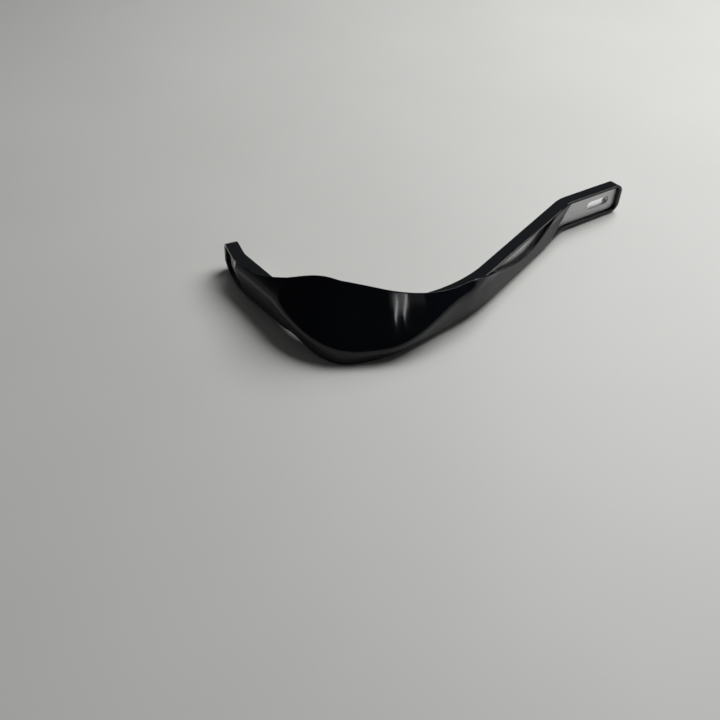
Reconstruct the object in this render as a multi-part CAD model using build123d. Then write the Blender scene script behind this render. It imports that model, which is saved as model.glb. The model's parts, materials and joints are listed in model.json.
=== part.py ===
# Wrap-around motorcycle hand guard: a moulded shell that holds a bent flat bar.
# It lies as it comes to rest, on its two ends and on the lip of its shield.
import os
from math import ceil, cos, exp, log, pi, radians, sin, sqrt, tan

from build123d import *

# Plan of the guard in millimetres and degrees, from the outer end to the inner end
outer_tab = 24.0
outer_tab_turn = 14.5
outer_tab_radius = 20.0
outer_arm = 58.5
main_turn = 58.5
main_radius = 52.0
base_run = 23.5
inner_turn = 45.0
inner_radius = 128.0
long_arm = 119.0
inner_tab_turn = 20.5
inner_tab_radius = 28.0
inner_tab = 60.5

# Reinforcing bar
bar_width = 21.0
bar_thickness = 5.5
bar_corner_radius = 5.0
slot_length = 25.0
slot_width = 7.0
slot_inset = 24.5
bolt_hole_diameter = 8.5
bolt_hole_inset = 13.0

# Channel of the shell, open at its back and at the front of both ends
channel_depth = 10.0
flange_wall = 2.3
end_wall = 3.6
end_corner_radius = 8.0
bar_recess = 3.0
seat_clearance = 0.2

# Front wall of the shell
skin_wall = 2.4
skin_proud = 1.3
skin_ledge = 1.5
flange_step = 0.6

# Crown, the top edge of the front wall: heights above the arms' top edge, and places
# along the bar from the middle of the main bend
crown_height = 23.8
crown_lead = 74.5
crown_peak = 20.0
crown_turn = 25.5
crown_fade = 121.0
shoulder_height = 2.8
window_drop = 14.5
window_middle = 205.5
window_fade = 60.0

# Bulge of the shield and the drop of its lower lip
bulge_depth = 13.0
lip_drop = 10.5
bulge_lead = 17.0
bulge_peak = 28.0
bulge_fade = 117.0

# Crease between the upright lower facet and the upper facet that leans back
facet_lean = 35.5
facet_blend = 20.0
crease_height = 8.5
crease_fall = 19.6
crease_lead = 36.5
crease_low = 39.0
crease_high = 50.5
crease_fade = 120.5
crease_softness = 1.3

# Slanted ends of the front wall, where the bar lies open
outer_edge_place = 6.5
outer_edge_slant = 9.0
strap_edge_place = 7.5
strap_edge_slant = 33.0

# How finely the front wall is drawn
facet_points = 8
highest_crease = 0.9
station_step = 9.0
station_turn = 10.0

half = bar_width / 2 + seat_clearance + flange_wall
bar_front = -bar_recess
bar_back = bar_front - bar_thickness
facet_inset = bar_recess - skin_wall - seat_clearance

# Straight runs and bends of the plan: length, turn to the left, radius
plan = [
    (outer_tab, 0, 0),
    (0, outer_tab_turn, outer_tab_radius),
    (outer_arm, 0, 0),
    (0, main_turn, main_radius),
    (base_run, 0, 0),
    (0, inner_turn, inner_radius),
    (long_arm, 0, 0),
    (0, -inner_tab_turn, inner_tab_radius),
    (inner_tab, 0, 0),
]


class Stretch:
    """One straight run or bend of the plan."""

    def __init__(self, start, origin, heading, run, turn, radius):
        self.start = start
        self.origin = origin
        self.heading = heading
        self.turn = turn
        self.radius = radius
        self.length = abs(radians(turn)) * radius if turn else run
        self.end = start + self.length

    def angle(self, station):
        return radians(self.heading + self.turn * (station - self.start) / self.length)

    def point(self, station, offset=0.0):
        """Point at a station, moved towards the front by an offset."""
        first = self.angle(self.start)
        angle = self.angle(station)
        front = Vector(sin(angle), -cos(angle))
        if not self.turn:
            along = Vector(cos(angle), sin(angle)) * (station - self.start)
            return self.origin + along + front * offset
        reach = self.radius if self.turn > 0 else -self.radius
        centre = self.origin - Vector(sin(first), -cos(first)) * reach
        return centre + front * (reach + offset)


def lay_out(plan):
    """Chains the runs and bends, with the run between the two main bends along +X."""
    stretches = []
    start = 0.0
    origin = Vector(0, 0)
    heading = -outer_tab_turn - main_turn
    for run, turn, radius in plan:
        stretch = Stretch(start, origin, heading, run, turn, radius)
        stretches.append(stretch)
        start = stretch.end
        origin = stretch.point(start)
        heading += turn
    return stretches


stretches = lay_out(plan)
path_end = stretches[-1].end
outer_arm_start = stretches[2].start
apex = (stretches[3].start + stretches[3].end) / 2
long_arm_end = stretches[6].end


def stretch_at(station):
    return next(s for s in stretches if station <= s.end + 1e-6)


def cross_plane(station):
    """Plane across the guard: local X to the front, local Y up."""
    stretch = stretch_at(station)
    angle = stretch.angle(station)
    ahead = (sin(angle), -cos(angle), 0)
    return Plane(stretch.point(station), x_dir=ahead, z_dir=(-cos(angle), -sin(angle), 0))


def beside(first, last, offset):
    """Lines and arcs at an offset from the plan, between two stations."""
    edges = []
    for stretch in stretches:
        low = max(first, stretch.start)
        high = min(last, stretch.end)
        if high - low > 1e-6:
            marks = [stretch.point(s, offset) for s in (low, (low + high) / 2, high)]
            edges.append(ThreePointArc(*marks) if stretch.turn else Line(marks[0], marks[2]))
    return edges


def strip(first, last, back, front, bottom, top):
    """Wall that follows the plan between two stations, two offsets and two heights."""
    near = beside(first, last, front)
    far = beside(first, last, back)
    ends = [Line(near[0] @ 0, far[0] @ 0), Line(near[-1] @ 1, far[-1] @ 1)]
    face = make_face(near + far + ends)
    return Pos(0, 0, bottom) * extrude(face, amount=top - bottom, dir=(0, 0, 1))


def end_edges(wall, first, last):
    """The four edges that cross a wall's thickness at its two ends."""
    picked = ShapeList()
    for station in (first, last):
        plane = cross_plane(station)
        across = Axis(plane.origin, plane.x_dir)
        for edge in wall.edges().filter_by(across):
            if abs(plane.to_local_coords(edge.center()).Z) < 1e-3:
                picked.append(edge)
    return picked


def face_plane(station, offset):
    """Plane on a face of the guard: local X along the bar, local Y up."""
    stretch = stretch_at(station)
    angle = stretch.angle(station)
    along = (cos(angle), sin(angle), 0)
    return Plane(stretch.point(station, offset), x_dir=along, z_dir=(sin(angle), -cos(angle), 0))


def reinforcing_bar():
    """Flat bar bent to the plan, slotted at the inner end and drilled at the outer end."""
    first = end_wall + seat_clearance
    last = path_end - end_wall - seat_clearance
    bar = strip(first, last, bar_back, bar_front, -bar_width / 2, bar_width / 2)
    bar = fillet(end_edges(bar, first, last), bar_corner_radius)
    slot = face_plane(path_end - slot_inset, bar_front) * SlotOverall(slot_length, slot_width)
    hole = face_plane(bolt_hole_inset, bar_front) * Circle(bolt_hole_diameter / 2)
    return bar - extrude(slot, -bar_thickness) - extrude(hole, -bar_thickness)


def channel():
    """Top and bottom flanges joined by rounded walls at both ends."""
    block = strip(0, path_end, -channel_depth, 0, -half, half)
    block = fillet(end_edges(block, 0, path_end), end_corner_radius)
    first = end_wall
    last = path_end - end_wall
    inside = half - flange_wall
    cavity = strip(first, last, -channel_depth - end_wall, end_wall, -inside, inside)
    cavity = fillet(end_edges(cavity, first, last), end_corner_radius - end_wall)
    return block - cavity


def ease(station, start, end):
    """Smooth rise from 0 at the start to 1 at the end."""
    share = min(max((station - start) / (end - start), 0), 1)
    return (1 - cos(pi * share)) / 2


def swell(station):
    """Rise and fall of the shield's bulge along the bar, from 0 to 1 and back."""
    rise = ease(station, apex - bulge_lead, apex + bulge_peak)
    return rise - ease(station, apex + bulge_peak, apex + bulge_fade)


def front(station):
    """Offset of the front wall's lower edge."""
    return skin_proud + bulge_depth * swell(station)


def lip(station):
    """Height of the front wall's lower edge."""
    return skin_ledge - half - lip_drop * swell(station)


def crown(station):
    """Height of the front wall's top edge; it dips below the top flange at the window."""
    rise = crown_height * ease(station, apex - crown_lead, apex + crown_peak)
    fall = (crown_height - shoulder_height) * ease(station, apex - crown_turn, apex + crown_fade)
    dip = (shoulder_height + window_drop) * ease(station, apex + crown_fade, apex + window_middle)
    close = window_drop * ease(station, apex + window_middle, apex + window_middle + window_fade)
    return half - flange_step + rise - fall - dip + close


def crease(station):
    """Height of the crease: near the top of the arms, and low down on the shield."""
    sink = ease(station, apex - crease_lead, apex + crease_low)
    return crease_height - crease_fall * (sink - ease(station, apex + crease_high, apex + crease_fade))


def leaning(station):
    """Share of its full lean that the upper facet has; it turns upright before the window."""
    end = apex + crease_fade
    return 1 - ease(station, end, end + facet_blend)


def lean(station):
    """Slope of the upper facet."""
    return tan(radians(facet_lean)) * leaning(station)


def ridge(station):
    """Offset of the crease, from which the upper facet passes just ahead of the top flange."""
    full = tan(radians(facet_lean)) * (half - crease(station)) - facet_inset
    return skin_proud + (full - skin_proud) * leaning(station)


def undercut(station):
    """Slope of the lower facet, between the crease and the lip."""
    return (ridge(station) - front(station)) / (crease(station) - lip(station))


def face(station, height):
    """Offset of the front wall's outer side, and how far it leans back there."""
    above = (height - crease(station)) / crease_softness
    upper = lean(station) * log(1 + exp(above))
    lower = undercut(station) * log(1 + exp(-above))
    offset = ridge(station) - crease_softness * (upper + lower)
    steep = (lean(station) - undercut(station) * exp(-above)) / (1 + exp(-above))
    return offset, steep


def behind(station, height):
    """Point of the front wall's inner side: offset and height."""
    offset, steep = face(station, height)
    depth = skin_wall / sqrt(1 + steep ** 2)
    return offset - depth, height - depth * steep


def skin_section(station):
    """Closed section of the front wall, lip to crown outside and back down inside."""
    bottom = lip(station)
    top = crown(station)
    middle = min(crease(station), bottom + highest_crease * (top - bottom))
    shares = [i / facet_points for i in range(facet_points + 1)]
    heights = [middle - (middle - bottom) * share ** 2 for share in reversed(shares[1:])]
    heights += [middle + (top - middle) * share ** 2 for share in shares]
    outside = [(face(station, height)[0], height) for height in heights]
    inside = [behind(station, height) for height in heights]
    marks = [i / (len(heights) - 1) for i in range(len(heights))]
    edges = [
        Edge.make_spline([Vector(*point) for point in outside], parameters=marks),
        Line(outside[-1], inside[-1]),
        Edge.make_spline([Vector(*point) for point in reversed(inside)], parameters=marks),
        Line(inside[0], outside[0]),
    ]
    return cross_plane(station) * make_face(edges)


def stations(first, last):
    """Stations between two places, closer together in the bends."""
    marks = [first]
    for stretch in stretches:
        low = max(first, stretch.start)
        high = min(last, stretch.end)
        if high - low > 1e-6:
            count = ceil((high - low) / station_step)
            count = max(count, ceil(abs(stretch.turn) * (high - low) / stretch.length / station_turn))
            marks += [low + (high - low) * (i + 1) / count for i in range(count)]
    return marks


def slanted_cut(station, slant, side):
    """Block beyond a slanted edge across the front wall; the edge leans inwards as it rises."""
    reach = 3 * half
    run = slant * reach / (2 * half)
    far = side * 2 * long_arm
    outline = Polyline((-run, -reach), (run, reach), (far, reach), (far, -reach), close=True)
    return extrude(face_plane(station, 0) * make_face(outline), amount=reach, both=True)


def front_wall():
    """Moulded skin over the arms and the shield, cut to slanted edges at both ends."""
    first = outer_arm_start
    last = stretches[7].end
    wall = loft([skin_section(s) for s in stations(first, last)])
    wall -= slanted_cut(outer_arm_start + outer_edge_place, -outer_edge_slant, -1)
    return wall - slanted_cut(long_arm_end - strap_edge_place, strap_edge_slant, 1)


def lower_shelf():
    """Carries the bottom flange forward to the back of the bulging shield."""
    sections = []
    bottom = -half + flange_step / 2
    top = -half + flange_wall - flange_step / 2
    for station in stations(apex - bulge_lead, apex + bulge_fade):
        back = bar_back
        reach = face(station, bottom)[0] - skin_wall / 2
        outline = Polyline((back, bottom), (reach, bottom), (reach, top), (back, top), close=True)
        sections.append(cross_plane(station) * make_face(outline))
    return loft(sections)


def guard_shell():
    """Channel, front wall and shelf as one moulding."""
    first = outer_arm_start + outer_edge_place
    last = apex + crease_fade + facet_blend / 2
    trimmed = strip(first, last, -facet_inset - flange_step, skin_proud, 0, 2 * half)
    return channel() - trimmed + front_wall() + lower_shelf()


def foot(station, offset, height):
    """Point at a station, an offset and a height of the plan."""
    spot = stretch_at(station).point(station, offset)
    return Vector(spot.X, spot.Y, height)


def rest_plane():
    """Surface that the guard lies on: both ends and the lowest stretch of the lip touch it."""
    outer = foot(end_corner_radius, -channel_depth, -half)
    inner = foot(path_end - end_corner_radius, -channel_depth, -half)
    deepest = apex + bulge_peak
    shield = foot(deepest, *behind(deepest, lip(deepest)))
    return Plane(outer, x_dir=(1, 0, 0), z_dir=(shield - outer).cross(inner - outer))


laid = rest_plane().location.inverse()
pieces = {"guard_shell": laid * guard_shell(), "reinforcing_bar": laid * reinforcing_bar()}
box = pieces["guard_shell"].bounding_box()
centred = Pos(-box.center().X, -box.center().Y, -box.min.Z)

os.makedirs("parts", exist_ok=True)
for name, piece in pieces.items():
    export_step(centred * piece, "parts/" + name + ".step")
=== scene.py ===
import json
from math import copysign, cos, exp, log, pi, radians, sin, tan

import bpy
from mathutils import Matrix, Vector


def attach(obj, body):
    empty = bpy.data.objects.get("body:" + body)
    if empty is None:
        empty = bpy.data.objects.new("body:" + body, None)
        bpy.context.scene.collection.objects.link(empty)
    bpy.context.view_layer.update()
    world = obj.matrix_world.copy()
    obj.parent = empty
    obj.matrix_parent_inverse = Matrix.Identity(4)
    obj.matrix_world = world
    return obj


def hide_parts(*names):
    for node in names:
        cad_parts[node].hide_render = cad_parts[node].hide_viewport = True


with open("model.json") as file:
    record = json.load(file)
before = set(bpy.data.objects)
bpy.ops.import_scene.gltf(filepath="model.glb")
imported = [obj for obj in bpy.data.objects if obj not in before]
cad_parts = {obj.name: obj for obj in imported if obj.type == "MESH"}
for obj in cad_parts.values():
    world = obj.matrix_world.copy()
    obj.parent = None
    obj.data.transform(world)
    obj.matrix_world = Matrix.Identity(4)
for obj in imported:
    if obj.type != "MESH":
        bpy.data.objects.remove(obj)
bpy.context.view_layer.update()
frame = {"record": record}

# Reinforcing bar
# A flat bar of bare aluminium, slotted and drilled while it is straight and then bent to a J.
# It lies in the channel of the shell. One bolt holds it at the handlebar's end and another at a clamp.
mm = 0.001
outer_tab = 24.0 * mm
outer_tab_turn = 14.5
outer_tab_radius = 20.0 * mm
outer_arm = 58.5 * mm
main_turn = 58.5
main_radius = 52.0 * mm
base_run = 23.5 * mm
inner_turn = 45.0
inner_radius = 128.0 * mm
long_arm = 119.0 * mm
inner_tab_turn = -20.5
inner_tab_radius = 28.0 * mm
inner_tab = 60.5 * mm
bar_width = 21.0 * mm
bar_thickness = 5.5 * mm
bar_corner_radius = 5.0 * mm
bar_corner_steps = 8
bar_edge_radius = 0.45 * mm
bar_recess = 3.0 * mm
bar_middle = -bar_recess - bar_thickness / 2
bar_slice = 20.0 * mm
bar_smooth_angle = 40
slot_length = 25.0 * mm
slot_width = 7.0 * mm
slot_inset = 24.5 * mm
bolt_hole_radius = 4.25 * mm
bolt_hole_inset = 13.0 * mm
hole_sides = 48
cutter_depth = 3 * bar_thickness
edge_angle = 40
edge_steps = 3
slice_turn = 3
end_wall = 3.6 * mm
seat_clearance = 0.2 * mm

# Straight runs and bends from the outer end: length along the bar, turn to the left in degrees
plan = [
    (outer_tab, 0),
    (outer_tab_radius * radians(outer_tab_turn), outer_tab_turn),
    (outer_arm, 0),
    (main_radius * radians(main_turn), main_turn),
    (base_run, 0),
    (inner_radius * radians(inner_turn), inner_turn),
    (long_arm, 0),
    (inner_tab_radius * radians(-inner_tab_turn), inner_tab_turn),
    (inner_tab, 0),
]
starts = [sum(length for length, _ in plan[:i]) for i in range(len(plan) + 1)]
path_end = starts[-1]
outer_arm_start = starts[2]
apex = (starts[3] + starts[4]) / 2
long_arm_end = starts[7]


def on_plan(station, offset):
    """Place in the plan of a station along the bar, moved to the front by an offset."""
    x = y = 0.0
    heading = -radians(outer_tab_turn + main_turn)
    for length, turn in plan:
        step = min(station, length)
        if turn:
            swing = radians(turn) * step / length
            reach = length / radians(turn)
            x += reach * (sin(heading + swing) - sin(heading))
            y -= reach * (cos(heading + swing) - cos(heading))
            heading += swing
        else:
            x += step * cos(heading)
            y += step * sin(heading)
        station -= step
        if station <= 0:
            break
    return Vector((x + offset * sin(heading), y - offset * cos(heading), 0))


def axes(along, across):
    """Turn whose first axis lies along one direction and whose second is nearest to another."""
    first = along.normalized()
    third = first.cross(across).normalized()
    return Matrix((first, third.cross(first), third)).transposed()


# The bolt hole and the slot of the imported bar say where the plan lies
mounts = {mount["name"]: mount for mount in frame["record"]["mounts"]}
hole_place = Vector(mounts["outer_bolt_hole"]["pos_m"])
slot_place = Vector(mounts["inner_slot"]["pos_m"])
hole_in_plan = on_plan(bolt_hole_inset, bar_middle)
slot_in_plan = on_plan(path_end - slot_inset, bar_middle)
ahead_in_plan = on_plan(bolt_hole_inset, bar_middle + bar_thickness) - hole_in_plan
lying = axes(slot_place - hole_place, Vector(mounts["outer_bolt_hole"]["axis"]))
lying = lying @ axes(slot_in_plan - hole_in_plan, ahead_in_plan).transposed()


def laid(point):
    """Place in the frame of a point of the plan."""
    return hole_place + lying @ (point - hole_in_plan)


def pick(piece):
    """Makes one piece the only one that operators act on."""
    bpy.ops.object.select_all(action="DESELECT")
    piece.select_set(True)
    bpy.context.view_layer.objects.active = piece


def apply_modifier(piece, kind, **settings):
    """Adds one modifier to a piece and applies it."""
    pick(piece)
    modifier = piece.modifiers.new(kind, kind)
    for name, value in settings.items():
        setattr(modifier, name, value)
    bpy.ops.object.modifier_apply(modifier=modifier.name)


def combine(piece, other, operation):
    """Cuts another piece out of a piece, or joins it on, and then removes that other piece."""
    apply_modifier(piece, "BOOLEAN", operation=operation, solver="EXACT", object=other)
    bpy.data.objects.remove(other)


def round_edges(piece, radius, sharp):
    """Rounds the edges at which a piece turns by more than an angle."""
    limit = {"limit_method": "ANGLE", "angle_limit": radians(sharp)}
    apply_modifier(piece, "BEVEL", width=radius, segments=edge_steps, **limit)


def straight_block(name, first, last, back, front, half_height):
    """Block between two stations and two offsets: X along the bar, -Y to its front, Z up."""
    middle = ((first + last) / 2, -(back + front) / 2, 0)
    bpy.ops.mesh.primitive_cube_add(size=1, location=middle)
    piece = bpy.context.object
    piece.name = name
    piece.scale = (last - first, front - back, 2 * half_height)
    bpy.ops.object.transform_apply(location=True, rotation=True, scale=True)
    return piece


def round_corners(piece, radius, steps):
    """Rounds the four edges that cross a straight block from its front to its back."""
    pick(piece)
    bpy.ops.object.mode_set(mode="EDIT")
    bpy.ops.mesh.select_mode(type="EDGE")
    bpy.ops.mesh.select_all(action="DESELECT")
    bpy.ops.object.mode_set(mode="OBJECT")
    for edge in piece.data.edges:
        a, b = (piece.data.vertices[i].co for i in edge.vertices)
        edge.select = abs(a.y - b.y) > max(abs(a.x - b.x), abs(a.z - b.z))
    bpy.ops.object.mode_set(mode="EDIT")
    bpy.ops.mesh.bevel(offset=radius, segments=steps, affect="EDGES")
    bpy.ops.object.mode_set(mode="OBJECT")


def drill(piece, station, offset, radius, stretch):
    """Cuts a round hole, or a slot where it is stretched, through a straight piece."""
    bpy.ops.mesh.primitive_cylinder_add(
        vertices=hole_sides,
        radius=radius,
        depth=cutter_depth,
        location=(station, -offset, 0),
        rotation=(pi / 2, pi / hole_sides, 0),
    )
    cutter = bpy.context.object
    bpy.ops.object.transform_apply(location=True, rotation=True, scale=True)
    for vertex in cutter.data.vertices:
        vertex.co.x += copysign(stretch / 2, vertex.co.x - station)
    combine(piece, cutter, "DIFFERENCE")


def cut_across(piece, first, last, longest):
    """Cuts a straight piece into slices short enough to bend, closer together in the bends."""
    pick(piece)
    bpy.ops.object.mode_set(mode="EDIT")
    bpy.ops.mesh.select_mode(type="VERT")
    for start, (length, turn) in zip(starts, plan):
        count = max(1, round(length / longest), round(abs(turn) / slice_turn))
        for i in range(count + 1):
            station = start + length * i / count
            if first < station < last:
                bpy.ops.mesh.select_all(action="SELECT")
                bpy.ops.mesh.bisect(plane_co=(station, 0, 0), plane_no=(1, 0, 0))
    bpy.ops.object.mode_set(mode="OBJECT")


def bend(piece):
    """Keeps the straight shape as an attribute for its finish, then bends and lays the piece."""
    flat = piece.data.attributes.new("flat", "FLOAT_VECTOR", "POINT")
    for vertex, kept in zip(piece.data.vertices, flat.data):
        kept.vector = vertex.co
    for vertex in piece.data.vertices:
        station, y, height = vertex.co
        vertex.co = laid(on_plan(station, -y) + Vector((0, 0, height)))


def smooth(piece, sharp):
    """Smooth shading up to an angle, with the flats kept flat beside their rounded edges."""
    pick(piece)
    bpy.ops.object.shade_smooth_by_angle(angle=radians(sharp))
    apply_modifier(piece, "WEIGHTED_NORMAL", keep_sharp=True)


bar_first = end_wall + seat_clearance
bar_last = path_end - bar_first
bar = straight_block(
    "bent_flat_bar", bar_first, bar_last, bar_middle - bar_thickness / 2, -bar_recess, bar_width / 2
)
round_corners(bar, bar_corner_radius, bar_corner_steps)
drill(bar, path_end - slot_inset, bar_middle, slot_width / 2, slot_length - slot_width)
drill(bar, bolt_hole_inset, bar_middle, bolt_hole_radius, 0)
round_edges(bar, bar_edge_radius, edge_angle)
cut_across(bar, bar_first, bar_last, bar_slice)
bend(bar)
smooth(bar, bar_smooth_angle)


class Value:
    """A socket among shader nodes. Sums and products of values add Math nodes."""

    def __init__(self, tree, socket):
        self.tree = tree
        self.socket = socket

    def node(self, kind, settings, inputs, output=0):
        """Adds a node with its settings and its inputs, which are numbers or other values."""
        made = self.tree.nodes.new(kind)
        for name, setting in settings.items():
            setattr(made, name, setting)
        for name, value in inputs.items():
            if isinstance(value, Value):
                self.tree.links.new(value.socket, made.inputs[name])
            else:
                made.inputs[name].default_value = value
        return Value(self.tree, made.outputs[output])

    def maths(self, operation, first, second):
        """Adds a Math node that works on two numbers or values."""
        return self.node("ShaderNodeMath", {"operation": operation}, {0: first, 1: second})

    def __add__(self, other):
        return self.maths("ADD", self, other)

    def __rsub__(self, other):
        return self.maths("SUBTRACT", other, self)

    def __mul__(self, other):
        return self.maths("MULTIPLY", self, other)

    __radd__ = __add__

    def between(self, low, high):
        """Share of the way from one level to another, from 0 to 1."""
        levels = {"Value": self, "From Min": low, "From Max": high}
        return self.node("ShaderNodeMapRange", {"clamp": True}, levels)

    def colour(self, dark, light):
        """Colour between two colours, by this value."""
        shades = {"Factor": self, "A": (*dark, 1), "B": (*light, 1)}
        return self.node("ShaderNodeMix", {"data_type": "RGBA"}, shades, "Result")

    def bump(self, strength, distance):
        """Normal of a surface that this value raises by up to a distance."""
        relief = {"Strength": strength, "Distance": distance, "Height": self}
        return self.node("ShaderNodeBump", {}, relief)


def new_finish(name):
    """Makes a material and gives it back with its Principled shader and the place on the piece."""
    material = bpy.data.materials.new(name)
    material.use_nodes = True
    tree = material.node_tree
    shader = tree.nodes["Principled BSDF"]
    place = tree.nodes.new("ShaderNodeTexCoord").outputs["Object"]
    return material, shader, Value(tree, place)


def feed(shader, **sockets):
    """Links values to a shader's sockets, and sets plain numbers on them."""
    for name, value in sockets.items():
        socket = shader.inputs[name.replace("_", " ")]
        if isinstance(value, Value):
            value.tree.links.new(value.socket, socket)
        else:
            socket.default_value = value


def noise(place, scale, detail, stretch=(1, 1, 1)):
    """Cloudy pattern of a given number of features a metre, stretched along the axes."""
    turned = place.node("ShaderNodeMapping", {}, {"Vector": place, "Scale": stretch})
    return turned.node(
        "ShaderNodeTexNoise", {}, {"Vector": turned, "Scale": scale, "Detail": detail}, "Fac"
    )


# Fine brushing along the bar, with soft clouds in its tone and its gloss
bar_dark = (0.56, 0.57, 0.58)
bar_light = (0.68, 0.68, 0.68)
bar_roughness = 0.38
brushing_share = 0.4
brushing_roughness = 0.12
brushing_relief = 0.02 * mm
clouding_roughness = 0.10
bar_finish, bar_shader, bar_place = new_finish("satin_aluminium")
along_bar = bar_place.node("ShaderNodeAttribute", {"attribute_name": "flat"}, {}, "Vector")
brushing = noise(along_bar, scale=2200, detail=3, stretch=(0.02, 1, 1))
clouding = noise(along_bar, scale=45, detail=4)
bar_tone = brushing * brushing_share + clouding * (1 - brushing_share)
feed(
    bar_shader,
    Base_Color=bar_tone.colour(bar_dark, bar_light),
    Metallic=1.0,
    Roughness=bar_roughness + brushing * brushing_roughness + clouding * clouding_roughness,
    Normal=brushing.bump(strength=0.25, distance=brushing_relief),
)
bar.data.materials.append(bar_finish)
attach(bar, "root")
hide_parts("reinforcing_bar")

# Shell
# One black injection moulding: flanges along both edges of the bar, joined by a rim round each end, and
# a front wall that swells into the shield. The bar lies between the flanges, behind the wall.
# It shows at both ends, where the wall stops short, and through the window under the top flange.
channel_depth = 10.0 * mm
channel_slice = 3.0 * mm
flange_wall = 2.3 * mm
end_corner_radius = 8.0 * mm
end_corner_steps = 12
rim_radius = 0.45 * mm
half = bar_width / 2 + seat_clearance + flange_wall
skin_wall = 2.4 * mm
skin_proud = 1.3 * mm
skin_ledge = 1.5 * mm
flange_step = 0.6 * mm
crown_height = 23.8 * mm
crown_lead = 74.5 * mm
crown_peak = 20.0 * mm
crown_turn = 25.5 * mm
crown_fade = 121.0 * mm
shoulder_height = 2.8 * mm
window_drop = 14.5 * mm
window_middle = 205.5 * mm
window_fade = 60.0 * mm
bulge_depth = 13.0 * mm
lip_drop = 10.5 * mm
bulge_lead = 17.0 * mm
bulge_peak = 28.0 * mm
bulge_fade = 117.0 * mm
facet_lean = 35.5
facet_blend = 20.0 * mm
facet_inset = bar_recess - skin_wall - seat_clearance
crease_height = 8.5 * mm
crease_fall = 19.6 * mm
crease_lead = 36.5 * mm
crease_low = 39.0 * mm
crease_high = 50.5 * mm
crease_fade = 120.5 * mm
crease_softness = 1.3 * mm
outer_edge_place = 6.5 * mm
outer_edge_slant = 9.0 * mm
strap_edge_place = 7.5 * mm
strap_edge_slant = 33.0 * mm
wall_columns = 260
wall_rows = 44
wall_edge_angle = 50
edge_tries = 25
shell_smooth_angle = 35


def ease(station, start, end):
    """Smooth rise from 0 at the start to 1 at the end."""
    share = min(max((station - start) / (end - start), 0), 1)
    return (1 - cos(pi * share)) / 2


def swell(station):
    """Rise and fall of the shield's bulge along the bar, from 0 to 1 and back."""
    rise = ease(station, apex - bulge_lead, apex + bulge_peak)
    return rise - ease(station, apex + bulge_peak, apex + bulge_fade)


def front(station):
    """Offset of the front wall's lower edge."""
    return skin_proud + bulge_depth * swell(station)


def lip(station):
    """Height of the front wall's lower edge."""
    return skin_ledge - half - lip_drop * swell(station)


def crown(station):
    """Height of the front wall's top edge, which dips below the top flange at the window."""
    rise = crown_height * ease(station, apex - crown_lead, apex + crown_peak)
    fall = (crown_height - shoulder_height) * ease(station, apex - crown_turn, apex + crown_fade)
    dip = (shoulder_height + window_drop) * ease(station, apex + crown_fade, apex + window_middle)
    close = window_drop * ease(station, apex + window_middle, apex + window_middle + window_fade)
    return half - flange_step + rise - fall - dip + close


def crease(station):
    """Height of the crease: near the top of the arms, and low down on the shield."""
    sink = ease(station, apex - crease_lead, apex + crease_low)
    return crease_height - crease_fall * (sink - ease(station, apex + crease_high, apex + crease_fade))


def face(station, height):
    """Offset of the front wall, which leans back above the crease and runs to the lip below it."""
    slope = tan(radians(facet_lean))
    leaning = 1 - ease(station, apex + crease_fade, apex + crease_fade + facet_blend)
    ridge = skin_proud + (slope * (half - crease(station)) - facet_inset - skin_proud) * leaning
    undercut = (ridge - front(station)) / (crease(station) - lip(station))
    above = (height - crease(station)) / crease_softness
    upper = slope * leaning * log(1 + exp(above))
    lower = undercut * log(1 + exp(-above))
    return ridge - crease_softness * (upper + lower)


def edge_station(share, height):
    """Station at a share of the way between the slanted ends of the front wall."""
    outer = outer_arm_start + outer_edge_place - outer_edge_slant * height / (2 * half)
    strap = long_arm_end - strap_edge_place + strap_edge_slant * height / (2 * half)
    return outer + share * (strap - outer)


def edge_height(share, edge):
    """Height at which the front wall meets its crown or its lip, found in repeated tries."""
    height = 0.0
    for _ in range(edge_tries):
        height = edge(edge_station(share, height))
    return height


channel = straight_block("channel", 0, path_end, -channel_depth, 0, half)
round_corners(channel, end_corner_radius, end_corner_steps)
cavity = straight_block(
    "cavity", end_wall, path_end - end_wall, -channel_depth - end_wall, end_wall, half - flange_wall
)
round_corners(cavity, end_corner_radius - end_wall, end_corner_steps)
combine(channel, cavity, "DIFFERENCE")
round_edges(channel, rim_radius, edge_angle)
cut_across(channel, 0, path_end, channel_slice)

# The lower flange reaches forward into the wall, and the upper one is set back behind its leaning facet
trim_start = outer_arm_start + outer_edge_place
trim_end = apex + crease_fade + facet_blend
for vertex in channel.data.vertices:
    station, y, height = vertex.co
    if y < channel_depth / 2:
        if height < 0:
            vertex.co.y -= max(face(station, height) - skin_wall / 2, 0)
        else:
            trim = ease(station, trim_start, trim_start + facet_blend)
            trim -= ease(station, trim_end - facet_blend, trim_end)
            vertex.co.y += trim * (facet_inset + flange_step)

# The front wall starts as a flat grid, each point of which moves to its place on the outer face
grid_size = 1
bpy.ops.mesh.primitive_grid_add(x_subdivisions=wall_columns, y_subdivisions=wall_rows, size=grid_size)
shell = bpy.context.object
shell.name = "shield_and_arms"
spans = {}
for vertex in shell.data.vertices:
    share = vertex.co.x + grid_size / 2
    if share not in spans:
        spans[share] = edge_height(share, lip), edge_height(share, crown)
    bottom, top = spans[share]
    height = bottom + (top - bottom) * (vertex.co.y + grid_size / 2)
    station = edge_station(share, height)
    vertex.co = (station, -face(station, height), height)
apply_modifier(shell, "SOLIDIFY", thickness=skin_wall, offset=-1, use_even_offset=True)
round_edges(shell, rim_radius, wall_edge_angle)
combine(shell, channel, "UNION")

# The mould is polished, but for the front facet below the crease, which is satin
polish_blend = 3.0 * mm
polish = shell.data.attributes.new("polish", "FLOAT", "POINT")
for vertex, kept in zip(shell.data.vertices, polish.data):
    station, y, height = vertex.co
    behind = -y < face(station, height) - rim_radius
    kept.value = 1 if behind else ease(height, crease(station) - polish_blend, crease(station))
bend(shell)
smooth(shell, shell_smooth_angle)

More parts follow.
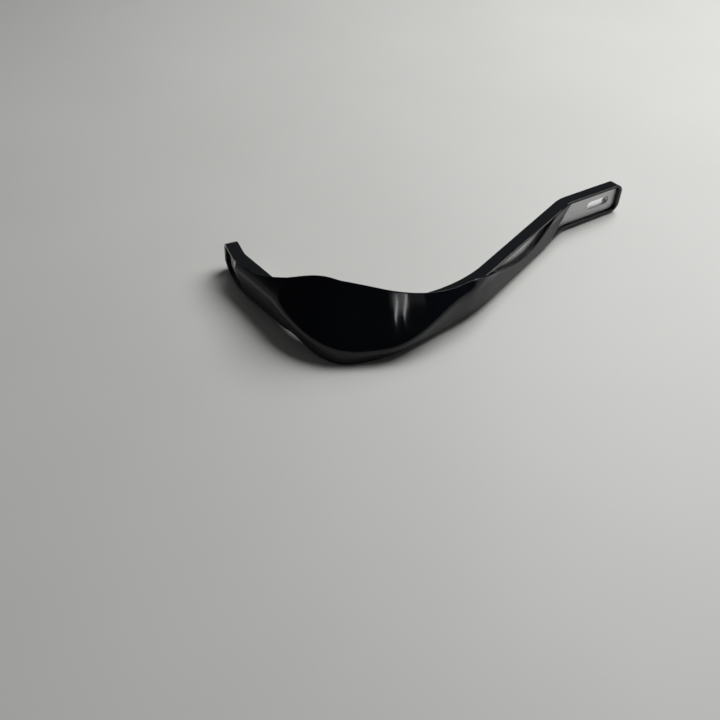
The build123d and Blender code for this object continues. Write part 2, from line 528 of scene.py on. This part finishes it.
shell_dark = (0.003, 0.0037, 0.0053)
shell_light = (0.0055, 0.0065, 0.0088)
satin_roughness = 0.40
polish_effect = 0.355
mottling_roughness = 0.03
grain_roughness = 0.01
grain_relief = 0.03 * mm
shell_finish, shell_shader, shell_place = new_finish("gloss_black_plastic")
polished = shell_place.node("ShaderNodeAttribute", {"attribute_name": "polish"}, {}, "Fac")
mottling = noise(shell_place, scale=60, detail=4)
fine_grain = noise(shell_place, scale=900, detail=3)
shell_roughness = satin_roughness - polished * polish_effect
shell_roughness += mottling.between(low=0.35, high=0.7) * mottling_roughness
shell_roughness += fine_grain * grain_roughness
feed(
    shell_shader,
    Base_Color=mottling.colour(shell_dark, shell_light),
    Roughness=shell_roughness,
    IOR=1.42,
    Normal=fine_grain.bump(strength=0.08, distance=grain_relief),
)
shell.data.materials.append(shell_finish)
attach(shell, "root")
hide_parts("guard_shell")

# Floor
# A plain pale floor, a little uneven in tone, that the guard lies on.
# It is no piece of the guard, and it takes the shadow.
floor_size = 8.0
floor_dark = (0.59, 0.595, 0.57)
floor_light = (0.65, 0.655, 0.63)
bpy.ops.mesh.primitive_plane_add(size=floor_size)
floor = bpy.context.object
floor.name = "pale_floor"
floor_finish, floor_shader, floor_place = new_finish("pale_floor")
floor_tone = noise(floor_place, scale=6, detail=3)
feed(floor_shader, Base_Color=floor_tone.colour(floor_dark, floor_light), Roughness=0.55)
floor.data.materials.append(floor_finish)

# Light
# A large soft lamp high on the right, behind the guard, throws its shadow to the front.
# Four faint lamps high behind the camera are there for the shield to mirror: two tubes,
# the ceiling round them and a long strip of the ceiling.
key_aim = (0.15, -0.05, 0)
shield_aim = (-0.05, -0.07, 0.03)

# Each lamp's name, place, aim, width, height, watts and roll in degrees
lamps = [
    ("key_lamp", (0.76, 0.52, 1.25), key_aim, 1.1, 1.1, 26, 0),
    ("left_ceiling_tube", (0.534, -1.592, 1.193), shield_aim, 0.124, 0.022, 0.075, 29),
    ("right_ceiling_tube", (0.725, -1.517, 1.169), shield_aim, 0.165, 0.022, 0.094, 19),
    ("lit_ceiling", (0.637, -1.547, 1.203), shield_aim, 0.32, 0.075, 0.115, -5),
    ("far_ceiling", (0.78, -1.48, 1.185), shield_aim, 0.78, 0.06, 0.045, -13),
]
for name, place, aim, width, height, watts, roll in lamps:
    lamp_data = bpy.data.lights.new(name, "AREA")
    lamp_data.shape = "RECTANGLE"
    lamp_data.size = width
    lamp_data.size_y = height
    lamp_data.energy = watts
    lamp = bpy.data.objects.new(name, lamp_data)
    lamp.location = place
    lamp.rotation_euler = (Vector(aim) - Vector(place)).to_track_quat("-Z", "Y").to_euler()
    lamp.rotation_euler.rotate_axis("Z", radians(roll))
    bpy.context.scene.collection.objects.link(lamp)

# The room has a pale wall low all round, a dim ceiling behind the guard and a dark one over the camera
room_dark = (0.010, 0.010, 0.011)
room_light = (1, 1, 1)
ceiling_back = 0.6
ceiling_up = 0.8
ceiling_glow = 0.10
wall_glow = 0.26
world = bpy.data.worlds.new("dim_room")
world.use_nodes = True
room = world.node_tree
direction = Value(room, room.nodes.new("ShaderNodeTexCoord").outputs["Generated"])
backwards = direction.node("ShaderNodeSeparateXYZ", {}, {"Vector": direction}, "Y")
upwards = direction.node("ShaderNodeSeparateXYZ", {}, {"Vector": direction}, "Z")
ceiling = (backwards * ceiling_back + upwards * ceiling_up).between(low=0.3, high=0.95)
wall = upwards.between(low=0.17, high=0.05)
room_tone = ceiling * ceiling_glow + wall * wall_glow
feed(room.nodes["Background"], Color=room_tone.colour(room_dark, room_light))
bpy.context.scene.world = world

# Camera
# It looks down on the front of the shield from a little to the left.
# Its place, aim, roll and lens were fitted to the guard's outline in the photograph.
camera_place = Vector((-0.12821, -0.42771, 0.35402))
camera_aim = Vector((-0.07904, -0.08441, 0.0))
camera_roll = -1.74
camera_lens = 35.29
camera_sensor = 36
camera_nearest = 0.01
camera = bpy.data.objects.new("camera", bpy.data.cameras.new("camera"))
camera.data.lens = camera_lens
camera.data.sensor_width = camera_sensor
camera.data.clip_start = camera_nearest
camera.location = camera_place
sight = camera_aim - camera_place
level = sight.to_track_quat("-Z", "Y").to_matrix().to_4x4()
camera.rotation_euler = (Matrix.Rotation(radians(camera_roll), 4, sight) @ level).to_euler()
bpy.context.scene.collection.objects.link(camera)
bpy.context.scene.camera = camera

bpy.context.scene.view_settings.view_transform = "Standard"
